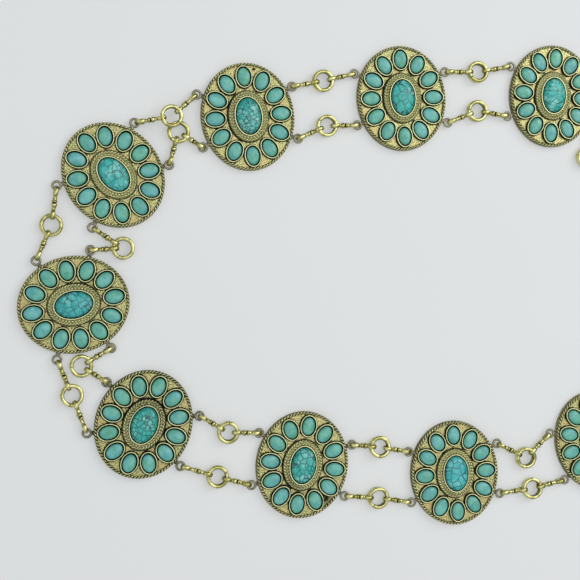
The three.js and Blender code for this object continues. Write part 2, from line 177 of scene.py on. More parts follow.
# A rope of two strands laid round an oval
def ovalRope(form, halfAlong, halfAcross, height, rope):
    count = rope["twists"] * rope["steps"]
    middle, outwards, ahead, length = ovalFrame(halfAlong, halfAcross, count)
    middle = middle + height * upwards
    offset = rope["radius"] - rope["strand"]
    climb = length / rope["twists"] / fullTurn
    around = np.arange(rope["sides"]) / rope["sides"] * fullTurn
    for start in (0, math.pi):
        turn = (rope["hand"] * np.arange(count) / rope["steps"] * fullTurn + start)[:, None]
        radial = np.cos(turn) * outwards + np.sin(turn) * upwards
        aside = -np.sin(turn) * outwards + np.cos(turn) * upwards
        onwards = climb * ahead + rope["hand"] * offset * aside
        onwards /= np.linalg.norm(onwards, axis=1)[:, None]
        across = np.cross(onwards, radial)
        ring = (offset * radial)[:, None] + rope["strand"] * (
            np.cos(around)[None, :, None] * radial[:, None]
            + np.sin(around)[None, :, None] * across[:, None])
        flatRing = ring - np.sum(ring * ahead[:, None], axis=2)[..., None] * ahead[:, None]
        depth = np.linalg.norm(flatRing, axis=2) / rope["radius"]
        # Darker towards the rope's core, between the strands: patina with painted shade
        patinaAndShade = rope["shade"] * (1 - smoothStep(rope["dark"], rope["bright"], depth))
        faces = gridFaces(count, rope["sides"], closeRows=True)
        form.add(middle[:, None] + ring, [faces], patinaAndShade.ravel(), rope["tint"])


# The seam of a ring: a fine groove across its wire, dark at the bottom
seamCut = {"width": 0.02, "depth": 0.13, "dark": 7.0}


# A closed wire bent to an oval in the plane of two directions. The lower its roundness,
# the nearer its section is to a rectangle.
def ovalWire(form, middle, first, second, halfFirst, halfSecond, wire, patinaAndShade=0.0, tint=0.5):
    side = np.cross(first, second)
    count = wire["count"]
    angle = np.arange(count) / count * fullTurn
    if "seam" in wire:
        cut = wire["seam"] + seamCut["width"] * np.array([-2.5, -1.0, 0.0, 1.0, 2.5])
        angle = np.sort(np.concatenate([angle, cut]))
        count = len(angle)
    cos, sin = np.cos(angle)[:, None], np.sin(angle)[:, None]
    path = middle + halfFirst * cos * first + halfSecond * sin * second
    outwards = halfSecond * cos * first + halfFirst * sin * second
    outwards /= np.linalg.norm(outwards, axis=1)[:, None]
    around = np.arange(wire["sides"]) / wire["sides"] * fullTurn
    size = np.ones(count)
    if "seam" in wire:
        size -= seamCut["depth"] * np.exp(-((angle - wire["seam"]) / seamCut["width"]) ** 2)
    broad, tall = (np.sign(value) * np.abs(value) ** wire["roundness"]
                   for value in (np.cos(around), np.sin(around)))
    ring = size[:, None, None] * (wire["radial"] * broad[None, :, None] * outwards[:, None]
                                  + wire["lateral"] * tall[None, :, None] * side)
    # Painted shade on the wire's inner face, towards the middle of the oval
    innerShade = wire["innerShade"] * np.clip(-np.cos(around), 0, 1)
    dark = (patinaAndShade + (1 - size) * seamCut["dark"])[:, None] + innerShade[None, :]
    form.add(path[:, None] + ring, [gridFaces(count, wire["sides"], closeRows=True)], dark.ravel(), tint)


# A body turned about a line. Its profile gives distance along the line, radius and patina.
def turnedBody(form, start, onwards, left, above, profile, sides):
    around = (np.arange(sides) / sides * fullTurn)[:, None]
    spoke = np.cos(around) * left + np.sin(around) * above
    rows = [start + distance * onwards + radius * spoke for distance, radius, _ in profile]
    tips = [start + profile[0][0] * onwards, start + profile[-1][0] * onwards]
    patinaAndShade = np.concatenate([np.repeat([row[2] for row in profile], sides),
                             [profile[0][2], profile[-1][2]]])
    last = (len(profile) - 1) * sides
    total = len(profile) * sides
    form.add(np.vstack([*rows, *tips]),
             [gridFaces(len(profile), sides), fanFaces(0, sides, total, turned=True),
              fanFaces(last, sides, total + 1)], patinaAndShade)


# A closed domed shape on an oval. Its profile gives share of the oval, height and how dark it is, a painted
# shade.
def dome(form, halfLong, halfWide, profile, top, count, angle=0.0, shift=(0, 0, 0), tint=0.5):
    turn = np.arange(count) / count * fullTurn
    edge = np.stack([halfLong * np.cos(turn), halfWide * np.sin(turn), np.zeros(count)], -1)
    rows = [share * edge + height * upwards for share, height, _ in profile]
    tips = [[0, 0, profile[0][1]], [0, 0, top]]
    dark = np.concatenate([np.repeat([row[2] for row in profile], count),
                           [profile[0][2], profile[-1][2]]])
    place = turnedBy(np.vstack([*rows, tips]), angle, shift)
    last = (len(profile) - 1) * count
    total = len(profile) * count
    form.add(place, [gridFaces(len(profile), count), fanFaces(0, count, total, turned=True),
                     fanFaces(last, count, total + 1)], dark, tint)


# Medallion, in millimetres
medallion = {
    "halfAlong": 21.58,
    "halfAcross": 24.58,
    "face": 2.8,
    "rimInset": 0.75,  # where the face ends, under the rim's rope
    "underCollar": 0.5,  # how far the face runs in under the collar
    "ropeHeight": 3.08,
    "grainDepth": 0.1,
    "grainSize": 0.75,
    "fineGrain": 0.6,  # share of a second, finer grain
    "fineScale": 2.3,
    "columns": 192,
    "faceRows": 26,
    # Rope seat, side wall, foot and back: inset, height and patina, with painted shade deepest at the rope
    # seat and at the foot by the floor
    "side": [(0.22, 2.62, 0.8), (0.1, 2.35, 0.6), (0.0, 1.7, 0.46), (0.0, 0.7, 0.5),
             (0.08, 0.3, 0.65), (0.3, 0.06, 0.8), (0.7, 0.0, 0.5), (8.0, 0.0, 0.35)],
}
# Darkening on the face: patina with painted shade round the bezels' feet and at its outer and inner edge,
# where walls rise from it, and patina in the grain's lows
facePatinaAndShade = {"bezelReach": 0.85, "bezel": 0.9, "edge": 0.8, "rimShare": 0.93, "collarShare": (0.04, 0.13),
              "low": 0.5, "middle": 0.8, "back": 0.3}
rimRope = {"radius": 0.78, "strand": 0.4, "twists": 45, "steps": 14, "sides": 6, "hand": 1,
           "dark": 0.62, "bright": 0.97, "shade": 0.85, "tint": 0.66}
smallSetting = {
    "count": 12,
    "ovalAlong": 15.25,
    "ovalAcross": 18.04,
    "halfLong": 4.65,
    "halfWide": 3.45,
    "wall": 0.46,
    "crest": 4.42,
    "sunk": 0.25,  # how far the bezels reach into the face
    "segments": 44,
    # bezels take the paler bezel colour, a painted highlight
    "tint": 1.0,
}
# Stone profiles: share of the outline, height and how dark the stone is there, a painted shade, deepest
# inside the bezel and fading up the dome
smallStone = {"halfLong": 4.1, "halfWide": 2.97, "top": 5.2, "segments": 28,
              "profile": [(0.95, 3.1, 1.0), (1.0, 3.5, 1.0), (1.0, 3.95, 0.85), (0.97, 4.3, 0.4),
                          (0.9, 4.62, 0.12), (0.78, 4.88, 0.04), (0.58, 5.07, 0.0), (0.32, 5.17, 0.0)]}
# The collar's band: distance outwards, height above the collar's and patina, with painted shade deepest at
# its feet
collar = {"halfAlong": 9.2, "halfAcross": 11.54, "height": 3.45, "segments": 96, "tint": 0.5,
          "band": [(0.0, -0.95, 0.9), (-0.05, -0.25, 0.45), (-0.3, 0.0, 0.4), (-0.7, 0.1, 0.4),
                   (-1.35, 0.6, 0.2), (-2.6, 0.7, 0.3), (-2.7, -0.85, 1.0)]}
outerBraid = {"inset": (0.68, 0.66), "lift": 0.2, "radius": 0.76, "strand": 0.41, "twists": 22,
              "steps": 12, "sides": 6, "hand": 1, "dark": 0.5, "bright": 0.95, "shade": 0.62, "tint": 0.75}
innerBraid = {"inset": (1.98, 1.86), "lift": 0.5, "radius": 0.74, "strand": 0.4, "twists": 19,
              "steps": 12, "sides": 6, "hand": -1, "dark": 0.5, "bright": 0.95, "shade": 0.62, "tint": 0.75}
centerSetting = {"halfAlong": 6.02, "halfAcross": 8.58, "wall": 0.52, "crest": 5.05, "segments": 64,
                 # the bezel takes the paler bezel colour, a painted highlight
                 "tint": 1.0}
# The centre stone's profile darkness is painted shade too, deepest inside its bezel
centerStone = {"halfAlong": 5.7, "halfAcross": 8.22, "top": 6.98, "segments": 56,
               "profile": [(0.97, 3.6, 1.0), (1.0, 4.1, 1.0), (1.0, 4.7, 0.9), (0.985, 5.1, 0.55),
                           (0.94, 5.56, 0.25), (0.86, 5.97, 0.1), (0.74, 6.34, 0.0), (0.57, 6.66, 0.0),
                           (0.37, 6.87, 0.0), (0.18, 6.96, 0.0)]}
# An ear's neck: distance from the eyelet's middle, half width and half height
ear = {
    "along": 22.2,
    "across": 12.0,
    "height": 2.3,
    "radius": 1.8,
    "aim": 0.75,  # turns the neck from the medallion's centre towards the belt's direction
    "neck": [(-1.45, 0.62, 0.42), (-2.0, 0.86, 0.5), (-2.7, 1.0, 0.56), (-3.4, 1.3, 0.62),
             (-4.4, 1.7, 0.66)],
    "neckSides": 12,
    "eyeletPatina": 0.28,
    "neckPatina": 0.5,
    "tint": 0.0,
}
earWire = {"radial": 0.56, "lateral": 0.56, "roundness": 1.0, "innerShade": 0.2, "count": 36, "sides": 10}


# Where the small stones stand, and how each is turned
def smallPlaces():
    along, across = smallSetting["ovalAlong"], smallSetting["ovalAcross"]
    spread = (across - along) / (across + along) / 2
    places = []
    for i in range(smallSetting["count"]):
        aim = i / smallSetting["count"] * fullTurn
        turn = aim - spread * math.sin(2 * aim)
        places.append((aim, (along * math.cos(turn), across * math.sin(turn), 0)))
    return places


# How near a point on the face is to the foot of a small bezel, in millimetres
def distanceToBezels(points):
    nearest = np.full(len(points), np.inf)
    halfLong = smallSetting["halfLong"] + smallSetting["wall"]
    halfWide = smallSetting["halfWide"] + smallSetting["wall"]
    for aim, middle in smallPlaces():
        local = turnedBy(points - np.array(middle), -aim)
        size = np.hypot(local[:, 0] / halfLong, local[:, 1] / halfWide)
        nearest = np.minimum(nearest, (size - 1) * (halfLong + halfWide) / 2)
    return nearest


# The cast plate: grainy face, side wall and plain flat back in one closed skin
def addPlate(form):
    level = np.array([1.0, 1.0, 0.0])
    halfSizes = np.array([medallion["halfAlong"], medallion["halfAcross"], 1.0])
    outer = halfSizes - medallion["rimInset"] * level
    inner = np.array([collar["halfAlong"], collar["halfAcross"], 1.0]) - medallion["underCollar"] * level
    count = medallion["columns"]
    face = medallion["face"]
    size = medallion["grainSize"]
    aside = Vector((7, 3, 1))  # takes the finer grain from another place in the noise
    turn = np.arange(count) / count * fullTurn
    edge = np.stack([np.cos(turn), np.sin(turn), np.zeros(count)], -1)
    rows, patinaAndShade = [], []
    for i in range(medallion["faceRows"] + 1):
        share = i / medallion["faceRows"]
        points = edge * (inner + share * (outer - inner))
        coarse = np.array([noise.noise(Vector(p) / size) for p in points])
        fine = np.array([noise.noise(Vector(p) / size * medallion["fineScale"] + aside) for p in points])
        grain = coarse + medallion["fineGrain"] * fine
        # Painted shade with patina round the bezels' feet and at the face's edges; patina in the grain's
        # lows
        near = 1 - smoothStep(0.0, facePatinaAndShade["bezelReach"], distanceToBezels(points))
        rim = smoothStep(facePatinaAndShade["rimShare"], 1.0, share)
        heart = 1 - smoothStep(*facePatinaAndShade["collarShare"], share)
        points[:, 2] = face + medallion["grainDepth"] * grain * (1 - rim)
        rows.append(points)
        low = np.clip(-grain * facePatinaAndShade["low"], 0, facePatinaAndShade["low"])
        edges = np.full(count, max(rim, heart) * facePatinaAndShade["edge"])
        patinaAndShade.append(np.maximum.reduce([near * facePatinaAndShade["bezel"], edges, low]))
    for inset, height, dark in medallion["side"]:
        rows.append(edge * (halfSizes - inset * level) + height * upwards)
        patinaAndShade.append(np.full(count, dark))
    total = len(rows) * count
    tips = [[0, 0, face], [0, 0, 0]]
    form.add(np.vstack([*rows, tips]),
             [gridFaces(len(rows), count)[:, ::-1], fanFaces(0, count, total),
              fanFaces((len(rows) - 1) * count, count, total + 1, turned=True)],
             np.concatenate([*patinaAndShade, [facePatinaAndShade["middle"], facePatinaAndShade["back"]]]))


# The profile of a thin bezel: foot, wall, bright flat crest and the dark gap inside it, darkened at the
# foot and in the gap by patina and painted shade
def bezelProfile(setting, foot):
    wall, crest = setting["wall"], setting["crest"]
    return [(wall + 0.1, foot, 1.0), (wall + 0.05, foot + 0.5, 1.0), (wall + 0.01, crest - 0.5, 0.8),
            (wall, crest - 0.16, 0.3), (wall - 0.08, crest - 0.03, 0.0), (wall - 0.18, crest, 0.0),
            (0.16, crest, 0.0), (0.06, crest - 0.04, 0.0), (0.0, crest - 0.16, 0.45),
            (-0.01, crest - 0.4, 1.0), (-0.03, crest - 1.0, 1.0), (-0.05, foot, 1.0)]


def addSettings(form):
    profile = bezelProfile(smallSetting, medallion["face"] - smallSetting["sunk"])
    for aim, middle in smallPlaces():
        ovalWall(form, smallSetting["halfLong"], smallSetting["halfWide"], profile,
                 smallSetting["segments"], smallSetting["tint"], aim, middle)


def addCollar(form):
    along, across, height = collar["halfAlong"], collar["halfAcross"], collar["height"]
    band = [(out, height + above, dark) for out, above, dark in collar["band"]]
    ovalWall(form, along, across, band, collar["segments"], collar["tint"])
    for braid in (outerBraid, innerBraid):
        ovalRope(form, along - braid["inset"][0], across - braid["inset"][1], height + braid["lift"], braid)
    ovalWall(form, centerSetting["halfAlong"], centerSetting["halfAcross"],
             bezelProfile(centerSetting, medallion["face"]), centerSetting["segments"],
             centerSetting["tint"])


# Four cast eyelets, each on a short neck that widens into the side wall
def addEars(form):
    sides = ear["neckSides"]
    around = (np.arange(sides) / sides * fullTurn)[:, None]
    for sideAlong in (-1, 1):
        for sideAcross in (-1, 1):
            middle = np.array([sideAlong * ear["along"], sideAcross * ear["across"], ear["height"]])
            aim = math.atan2(sideAcross * ear["across"] * ear["aim"], sideAlong * ear["along"])
            onwards = np.array([math.cos(aim), math.sin(aim), 0])
            left = np.array([-math.sin(aim), math.cos(aim), 0])
            ovalWire(form, middle, onwards, left, ear["radius"], ear["radius"], earWire,
                     ear["eyeletPatina"], ear["tint"])
            rows = [middle + distance * onwards + np.cos(around) * wide * left
                    + np.sin(around) * tall * upwards for distance, wide, tall in ear["neck"]]
            tips = [middle + ear["neck"][end][0] * onwards for end in (0, -1)]
            total = len(rows) * sides
            form.add(np.vstack([*rows, *tips]),
                     [gridFaces(len(rows), sides)[:, ::-1], fanFaces(0, sides, total),
                      fanFaces(total - sides, sides, total + 1, turned=True)],
                     ear["neckPatina"], ear["tint"])


# Shader helpers
def newMaterial(name, viewColor):
    material = bpy.data.materials.new(name)
    material.use_nodes = True
    material.diffuse_color = (*viewColor, 1)
    return material, material.node_tree, material.node_tree.nodes["Principled BSDF"]


def feed(tree, socket, value):
    if isinstance(value, bpy.types.NodeSocket):
        tree.links.new(value, socket)
    elif socket.type == "RGBA":
        socket.default_value = (*value, 1)
    else:
        socket.default_value = value


def addNode(tree, kind, settings=None, **inputs):
    node = tree.nodes.new(kind)
    for name, value in (settings or {}).items():
        setattr(node, name, value)
    for name, value in inputs.items():
        feed(tree, node.inputs[name.replace("_", " ")], value)
    return node


def mathNode(tree, operation, first, second=0.0, clamp=False):
    node = addNode(tree, "ShaderNodeMath", {"operation": operation, "use_clamp": clamp})
    feed(tree, node.inputs[0], first)
    feed(tree, node.inputs[1], second)
    return node.outputs[0]


def vectorNode(tree, operation, first, second):
    node = addNode(tree, "ShaderNodeVectorMath", {"operation": operation})
    feed(tree, node.inputs[0], first)
    feed(tree, node.inputs["Scale" if operation == "SCALE" else 1], second)
    return node.outputs["Value" if operation == "DOT_PRODUCT" else "Vector"]


def mixColor(tree, share, first, second):
    node = addNode(tree, "ShaderNodeMix", {"data_type": "RGBA"})
    for index, value in ((0, share), (6, first), (7, second)):
        feed(tree, node.inputs[index], value)
    return node.outputs[2]


def objectPlace(tree):
    return addNode(tree, "ShaderNodeTexCoord").outputs["Object"]


def noiseValue(tree, place, scale, detail, roughness=0.5, distortion=0.0):
    return addNode(tree, "ShaderNodeTexNoise", Vector=place, Scale=scale, Detail=detail,
                   Roughness=roughness, Distortion=distortion).outputs["Fac"]


def addBump(tree, shader, height, strength, depth):
    bump = addNode(tree, "ShaderNodeBump", Strength=strength, Distance=depth, Height=height)
    feed(tree, shader.inputs["Normal"], bump.outputs["Normal"])


def spread(tree, value, low, high, toLow=0.0, toHigh=1.0, smooth=False):
    node = tree.nodes.new("ShaderNodeMapRange")
    node.interpolation_type = "SMOOTHSTEP" if smooth else "LINEAR"
    tree.links.new(value, node.inputs["Value"])
    for name, number in (("From Min", low), ("From Max", high), ("To Min", toLow), ("To Max", toHigh)):
        node.inputs[name].default_value = number
    return node.outputs[0]


def srgb(red, green, blue):
    return tuple(((v / 255 + 0.055) / 1.055) ** 2.4 if v > 10 else v / 3294 for v in (red, green, blue))


# Effects that more than one material uses: patina and painted shade in the recesses, and a soft mottle
def newGroup(name, inputs, outputs):
    group = bpy.data.node_groups.new(name, "ShaderNodeTree")
    for label, kind, value in inputs:
        socket = group.interface.new_socket(label, in_out="INPUT", socket_type=kind)
        if value is not None:
            socket.default_value = value
    for label, kind in outputs:
        group.interface.new_socket(label, in_out="OUTPUT", socket_type=kind)
    return group, group.nodes.new("NodeGroupInput"), group.nodes.new("NodeGroupOutput")


patinaAndShadeSoftness = 0.28  # how gradually patina and painted shade give way to bare metal


def recessPatinaAndShade():
    group, given, made = newGroup(
        "recessPatinaAndShade",
        [("Recess", "NodeSocketFloat", 0.0), ("Patch Scale", "NodeSocketFloat", 600.0),
         ("Patch Amount", "NodeSocketFloat", 0.4), ("Edge", "NodeSocketFloat", 0.5)],
        [("Mask", "NodeSocketFloat")])
    patches = noiseValue(group, objectPlace(group), given.outputs["Patch Scale"], 4.0, 0.6)
    centered = mathNode(group, "SUBTRACT", patches, 0.5)
    pushed = mathNode(group, "MULTIPLY", centered, given.outputs["Patch Amount"])
    raised = mathNode(group, "ADD", given.outputs["Recess"], pushed)
    shifted = mathNode(group, "SUBTRACT", raised, given.outputs["Edge"])
    mask = spread(group, shifted, -patinaAndShadeSoftness, patinaAndShadeSoftness, smooth=True)
    group.links.new(mask, made.inputs["Mask"])
    return group


def stoneMottle():
    group, given, made = newGroup(
        "stoneMottle",
        [("Dark", "NodeSocketColor", None), ("Light", "NodeSocketColor", None),
         ("Scale", "NodeSocketFloat", 300.0)],
        [("Color", "NodeSocketColor"), ("Mottle", "NodeSocketFloat")])
    broad = noiseValue(group, objectPlace(group), given.outputs["Scale"], 5.0, 0.62, 0.4)
    share = spread(group, broad, 0.32, 0.68, smooth=True)
    color = mixColor(group, share, given.outputs["Dark"], given.outputs["Light"])
    group.links.new(color, made.inputs["Color"])
    group.links.new(broad, made.inputs["Mottle"])
    return group


patinaAndShadeGroup = recessPatinaAndShade()
mottleGroup = stoneMottle()


def useGroup(tree, group, **inputs):
    return addNode(tree, "ShaderNodeGroup", {"node_tree": group}, **inputs)


def attributeValue(tree, name):
    return addNode(tree, "ShaderNodeAttribute", {"attribute_name": name}).outputs["Fac"]


antiqueLook = {
    # Bezel colour, paler than the face: a painted highlight
    "bezel": srgb(216, 219, 166),
    "pale": srgb(204, 202, 144),
    "olive": srgb(108, 110, 60),
    "pink": srgb(188, 166, 116),
    "worn": srgb(150, 146, 122),
    "dark": srgb(12, 18, 3),
    "patches": {"Patch_Scale": 900.0, "Patch_Amount": 0.8, "Edge": 0.54},
    "cloudScale": 240.0,
    "pinkShare": 0.65,
    "grainScale": 2100.0,
    "grainStrength": 0.6,
    "grainDepth": 0.00012,
    "roughness": (0.46, 0.32),
    "metallic": 0.92,
    "specular": 0.15,
    "patinaAndShadeRoughness": 0.22,  # added where patina and painted shade lie
    "patinaAndShadeMetallic": 0.6,  # taken away where patina and painted shade lie
}


# The tint says what kind of surface it is: 0 a worn, silvery one, 0.5 the face, 1 a bezel, whose paler
# colour is a painted highlight
def antiqueMetal():
    look = antiqueLook
    material, tree, shader = newMaterial("antique_metal", look["olive"])
    place = objectPlace(tree)
    kind = attributeValue(tree, "tint")
    bright = spread(tree, kind, 0.5, 1.0)
    worn = spread(tree, kind, 0.5, 0.0)
    darkening = useGroup(tree, patinaAndShadeGroup, Recess=attributeValue(tree, "patinaAndShade"), **look["patches"])
    cloud = noiseValue(tree, place, look["cloudScale"], 3.0, 0.55)
    grain = noiseValue(tree, place, look["grainScale"], 2.0, 0.6)
    color = mixColor(tree, spread(tree, grain, 0.4, 0.6, smooth=True), look["olive"], look["pale"])
    pinker = spread(tree, cloud, 0.46, 0.64, 0.0, look["pinkShare"], smooth=True)
    color = mixColor(tree, pinker, color, look["pink"])
    # The bezels' paler colour is a painted highlight
    color = mixColor(tree, bright, color, look["bezel"])
    color = mixColor(tree, worn, color, look["worn"])
    # Darker where patina and painted shade lie
    color = mixColor(tree, darkening.outputs["Mask"], color, look["dark"])
    tree.links.new(color, shader.inputs["Base Color"])
    rough = mathNode(tree, "ADD", spread(tree, grain, 0.3, 0.7, *look["roughness"]),
                     mathNode(tree, "MULTIPLY", darkening.outputs["Mask"], look["patinaAndShadeRoughness"]))
    tree.links.new(rough, shader.inputs["Roughness"])
    dull = mathNode(tree, "MULTIPLY", darkening.outputs["Mask"], look["patinaAndShadeMetallic"])
    tree.links.new(mathNode(tree, "SUBTRACT", look["metallic"], dull), shader.inputs["Metallic"])
    shader.inputs["Specular IOR Level"].default_value = look["specular"]
    addBump(tree, shader, grain, look["grainStrength"], look["grainDepth"])
    return material


brassLook = {
    "bright": srgb(214, 210, 148),
    "deep": srgb(164, 159, 92),
    "dark": srgb(44, 40, 14),
    "patches": {"Patch_Scale": 1100.0, "Patch_Amount": 0.5, "Edge": 0.5},
    "cloudScale": 420.0,
    "roughness": (0.2, 0.3),
    "patinaAndShadeRoughness": 0.2,  # added where patina and painted shade lie
    "scuffScale": 1500.0,
    "scuffStrength": 0.25,
    "scuffDepth": 0.00005,
}


def chainBrass():
    look = brassLook
    material, tree, shader = newMaterial("chain_brass", look["deep"])
    place = objectPlace(tree)
    darkening = useGroup(tree, patinaAndShadeGroup, Recess=attributeValue(tree, "patinaAndShade"), **look["patches"])
    cloud = noiseValue(tree, place, look["cloudScale"], 3.0)
    color = mixColor(tree, spread(tree, cloud, 0.38, 0.62, smooth=True), look["deep"], look["bright"])
    # Darker where patina and painted shade lie
    color = mixColor(tree, darkening.outputs["Mask"], color, look["dark"])
    tree.links.new(color, shader.inputs["Base Color"])
    rough = mathNode(tree, "ADD", spread(tree, cloud, 0.3, 0.7, *look["roughness"]),
                     mathNode(tree, "MULTIPLY", darkening.outputs["Mask"], look["patinaAndShadeRoughness"]))
    tree.links.new(rough, shader.inputs["Roughness"])
    shader.inputs["Metallic"].default_value = 1.0
    scuff = noiseValue(tree, place, look["scuffScale"], 2.0)
    addBump(tree, shader, scuff, look["scuffStrength"], look["scuffDepth"])
    return material


smallStoneLook = {
    "green": (srgb(74, 154, 128), srgb(114, 188, 160)),
    "blue": (srgb(76, 156, 160), srgb(122, 194, 194)),
    # Painted shade at the stone's edge and inside its bezel
    "edge": srgb(20, 70, 48),
    "greenScale": 330.0,
    "blueScale": 264.0,
    "partScale": 190.0,  # of the greener and bluer parts of one stone
    "blueOfStone": (0.1, 0.6),
    "blueOfPart": (-0.25, 0.45),
    "roughness": (0.14, 0.26),
    "specular": 0.42,
}


def smallStoneMaterial():
    look = smallStoneLook
    material, tree, shader = newMaterial("small_stone", look["blue"][0])
    greener, bluer = (useGroup(tree, mottleGroup, Dark=look[hue][0], Light=look[hue][1],
                               Scale=look[hue + "Scale"]) for hue in ("green", "blue"))
    parts = noiseValue(tree, objectPlace(tree), look["partScale"], 2.0)
    blue = mathNode(tree, "ADD", spread(tree, attributeValue(tree, "tint"), 0.0, 1.0, *look["blueOfStone"]),
                    spread(tree, parts, 0.35, 0.65, *look["blueOfPart"]), clamp=True)
    color = mixColor(tree, blue, greener.outputs["Color"], bluer.outputs["Color"])
    # Painted shade towards the stone's edge
    color = mixColor(tree, attributeValue(tree, "patinaAndShade"), color, look["edge"])
    tree.links.new(color, shader.inputs["Base Color"])
    rough = spread(tree, bluer.outputs["Mottle"], 0.3, 0.7, *look["roughness"])
    tree.links.new(rough, shader.inputs["Roughness"])
    shader.inputs["Specular IOR Level"].default_value = look["specular"]
    return material


# Centre stones: each has its own pattern of dark veins
centerStoneLook = {
    "deep": srgb(38, 158, 148),
    "body": srgb(66, 194, 182),
    "light": srgb(146, 220, 210),
    "blue": srgb(70, 176, 192),
    "vein": srgb(2, 80, 78),
    # Painted shade at the stone's edge and inside its bezel
    "edge": srgb(3, 46, 38),
    "paleShare": 0.75,
    "mottleScale": 420.0,
    "strengthScale": 260.0,  # of where veins fade and the stone is paler
    "faintest": 0.65,  # what is left of a vein where it fades
    "fineScale": 2.3,  # fine veins: their number and width, as shares of the main ones'
    "fineWidth": 1.3,
    "waveScale": 1.1,
    "roughness": (0.24, 0.36),
    "specular": 0.5,
    "veinStrength": 0.1,
    "veinDepth": 0.00006,
    # Each stone's veins: cells a metre, stretch, waviness, width, fine veins and blueness
    "patterns": {
        1: (300.0, (1.0, 1.0, 1.0), 0.4, 0.08, 0.1, 0.0),
        2: (330.0, (0.75, 1.7, 1.0), 0.6, 0.1, 0.15, 0.0),
        3: (310.0, (1.0, 0.85, 1.0), 0.8, 0.12, 0.2, 0.0),
        4: (430.0, (1.0, 1.3, 1.0), 1.2, 0.18, 0.2, 0.0),
        5: (370.0, (1.1, 0.9, 1.0), 0.7, 0.09, 0.15, 0.15),
        6: (350.0, (1.0, 1.0, 1.0), 0.9, 0.13, 0.3, 0.35),
        7: (450.0, (1.0, 1.0, 1.0), 0.5, 0.18, 0.15, 0.0),
        8: (390.0, (1.0, 0.9, 1.0), 0.6, 0.14, 0.2, 0.0),
        9: (250.0, (1.0, 1.0, 1.0), 0.6, 0.08, 0.1, 0.4),
        10: (330.0, (1.0, 1.0, 1.0), 0.5, 0.09, 0.15, 0.0),
        11: (360.0, (1.0, 1.0, 1.0), 0.5, 0.09, 0.15, 0.0),
    },
}


def centerStoneMaterial(number):
    look = centerStoneLook
    cellScale, stretch, warp, width, fineShare, blueShare = look["patterns"][number]
    material, tree, shader = newMaterial(f"center_stone_{number:02d}", look["body"])
    place = objectPlace(tree)
    stretched = addNode(tree, "ShaderNodeMapping", Vector=place, Scale=stretch).outputs["Vector"]
    waves = addNode(tree, "ShaderNodeTexNoise", Vector=stretched, Scale=cellScale * look["waveScale"],
                    Detail=4.0)
    centered = vectorNode(tree, "SUBTRACT", waves.outputs["Color"], (0.5, 0.5, 0.5))
    warped = vectorNode(tree, "ADD", stretched, vectorNode(tree, "SCALE", centered, warp / cellScale))
    veins = []
    for scale, reach in ((cellScale, width), (cellScale * look["fineScale"], width * look["fineWidth"])):
        cells = addNode(tree, "ShaderNodeTexVoronoi", {"feature": "DISTANCE_TO_EDGE"},
                        Vector=warped, Scale=scale)
        veins.append(spread(tree, cells.outputs["Distance"], 0.0, reach, 1.0, 0.0, smooth=True))
    strength = noiseValue(tree, place, look["strengthScale"], 2.0)
    kept = spread(tree, strength, 0.34, 0.56, look["faintest"], 1.0, smooth=True)
    vein = mathNode(tree, "MAXIMUM", mathNode(tree, "MULTIPLY", veins[0], kept),
                    mathNode(tree, "MULTIPLY", veins[1], fineShare))
    mottle = useGroup(tree, mottleGroup, Dark=look["deep"], Light=look["body"], Scale=look["mottleScale"])
    paler = spread(tree, strength, 0.46, 0.66, 0.0, look["paleShare"], smooth=True)
    color = mixColor(tree, paler, mottle.outputs["Color"], look["light"])
    color = mixColor(tree, blueShare, color, look["blue"])
    color = mixColor(tree, vein, color, look["vein"])
    # Painted shade towards the stone's edge
    color = mixColor(tree, attributeValue(tree, "patinaAndShade"), color, look["edge"])
    tree.links.new(color, shader.inputs["Base Color"])
    rough = spread(tree, mottle.outputs["Mottle"], 0.3, 0.7, *look["roughness"])
    tree.links.new(rough, shader.inputs["Roughness"])
    shader.inputs["Specular IOR Level"].default_value = look["specular"]
    addBump(tree, shader, mathNode(tree, "SUBTRACT", 1.0, vein), look["veinStrength"], look["veinDepth"])
    return material


def addPiece(name, mesh, material, nodes=()):
    mesh.materials.append(material)
    piece = bpy.data.objects.new(name, mesh)
    bpy.context.scene.collection.objects.link(piece)
    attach(piece, "root")
    if nodes:
        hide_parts(*nodes)


antiqueMaterial = antiqueMetal()
brassMaterial = chainBrass()
smallStonesMaterial = smallStoneMaterial()
print("materials are made")

# First seeds of the random draws: each medallion and each strand has one of its own
seeds = {"darkening": 10, "stones": 40, "strands": 100, "clasp": 200}

# The medallions' headings, in order round the loop, as in the part's source
headings = [-62, -4, 3.4, 6.8, 40.1, 101.7, 159, 171.4, 183.4, 198.4, 256]
middles = []
for i in range(len(headings)):
    low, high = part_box(f"medallion_{i + 1:02d}")
    middles.append(((low.x + high.x) / 2 / mm, (low.y + high.y) / 2 / mm))

castingForm = Form()
addPlate(castingForm)
ovalRope(castingForm, medallion["halfAlong"] - rimRope["radius"],
         medallion["halfAcross"] - rimRope["radius"], medallion["ropeHeight"], rimRope)
addSettings(castingForm)
addCollar(castingForm)
addEars(castingForm)
castingMesh = castingForm.mesh("casting", sharpAngle=50)
centerForm = Form()
dome(centerForm, centerStone["halfAlong"], centerStone["halfAcross"], centerStone["profile"],
     centerStone["top"], centerStone["segments"])
centerMesh = centerForm.mesh("center_stone")

# Soft patches of wear on every medallion, in millimetres
wearPatches = {"count": 4, "along": 16, "across": 18, "size": (5, 9), "strength": (-0.1, 0.2)}
# How far small stones differ from one another: turn in degrees, lift and shift in millimetres.
# All of them sit a little to one side in their bezels.
stonePlay = {"turn": 2.5, "lift": 0.06, "shift": 0.05, "aside": (-0.08, -0.07, 0.0)}
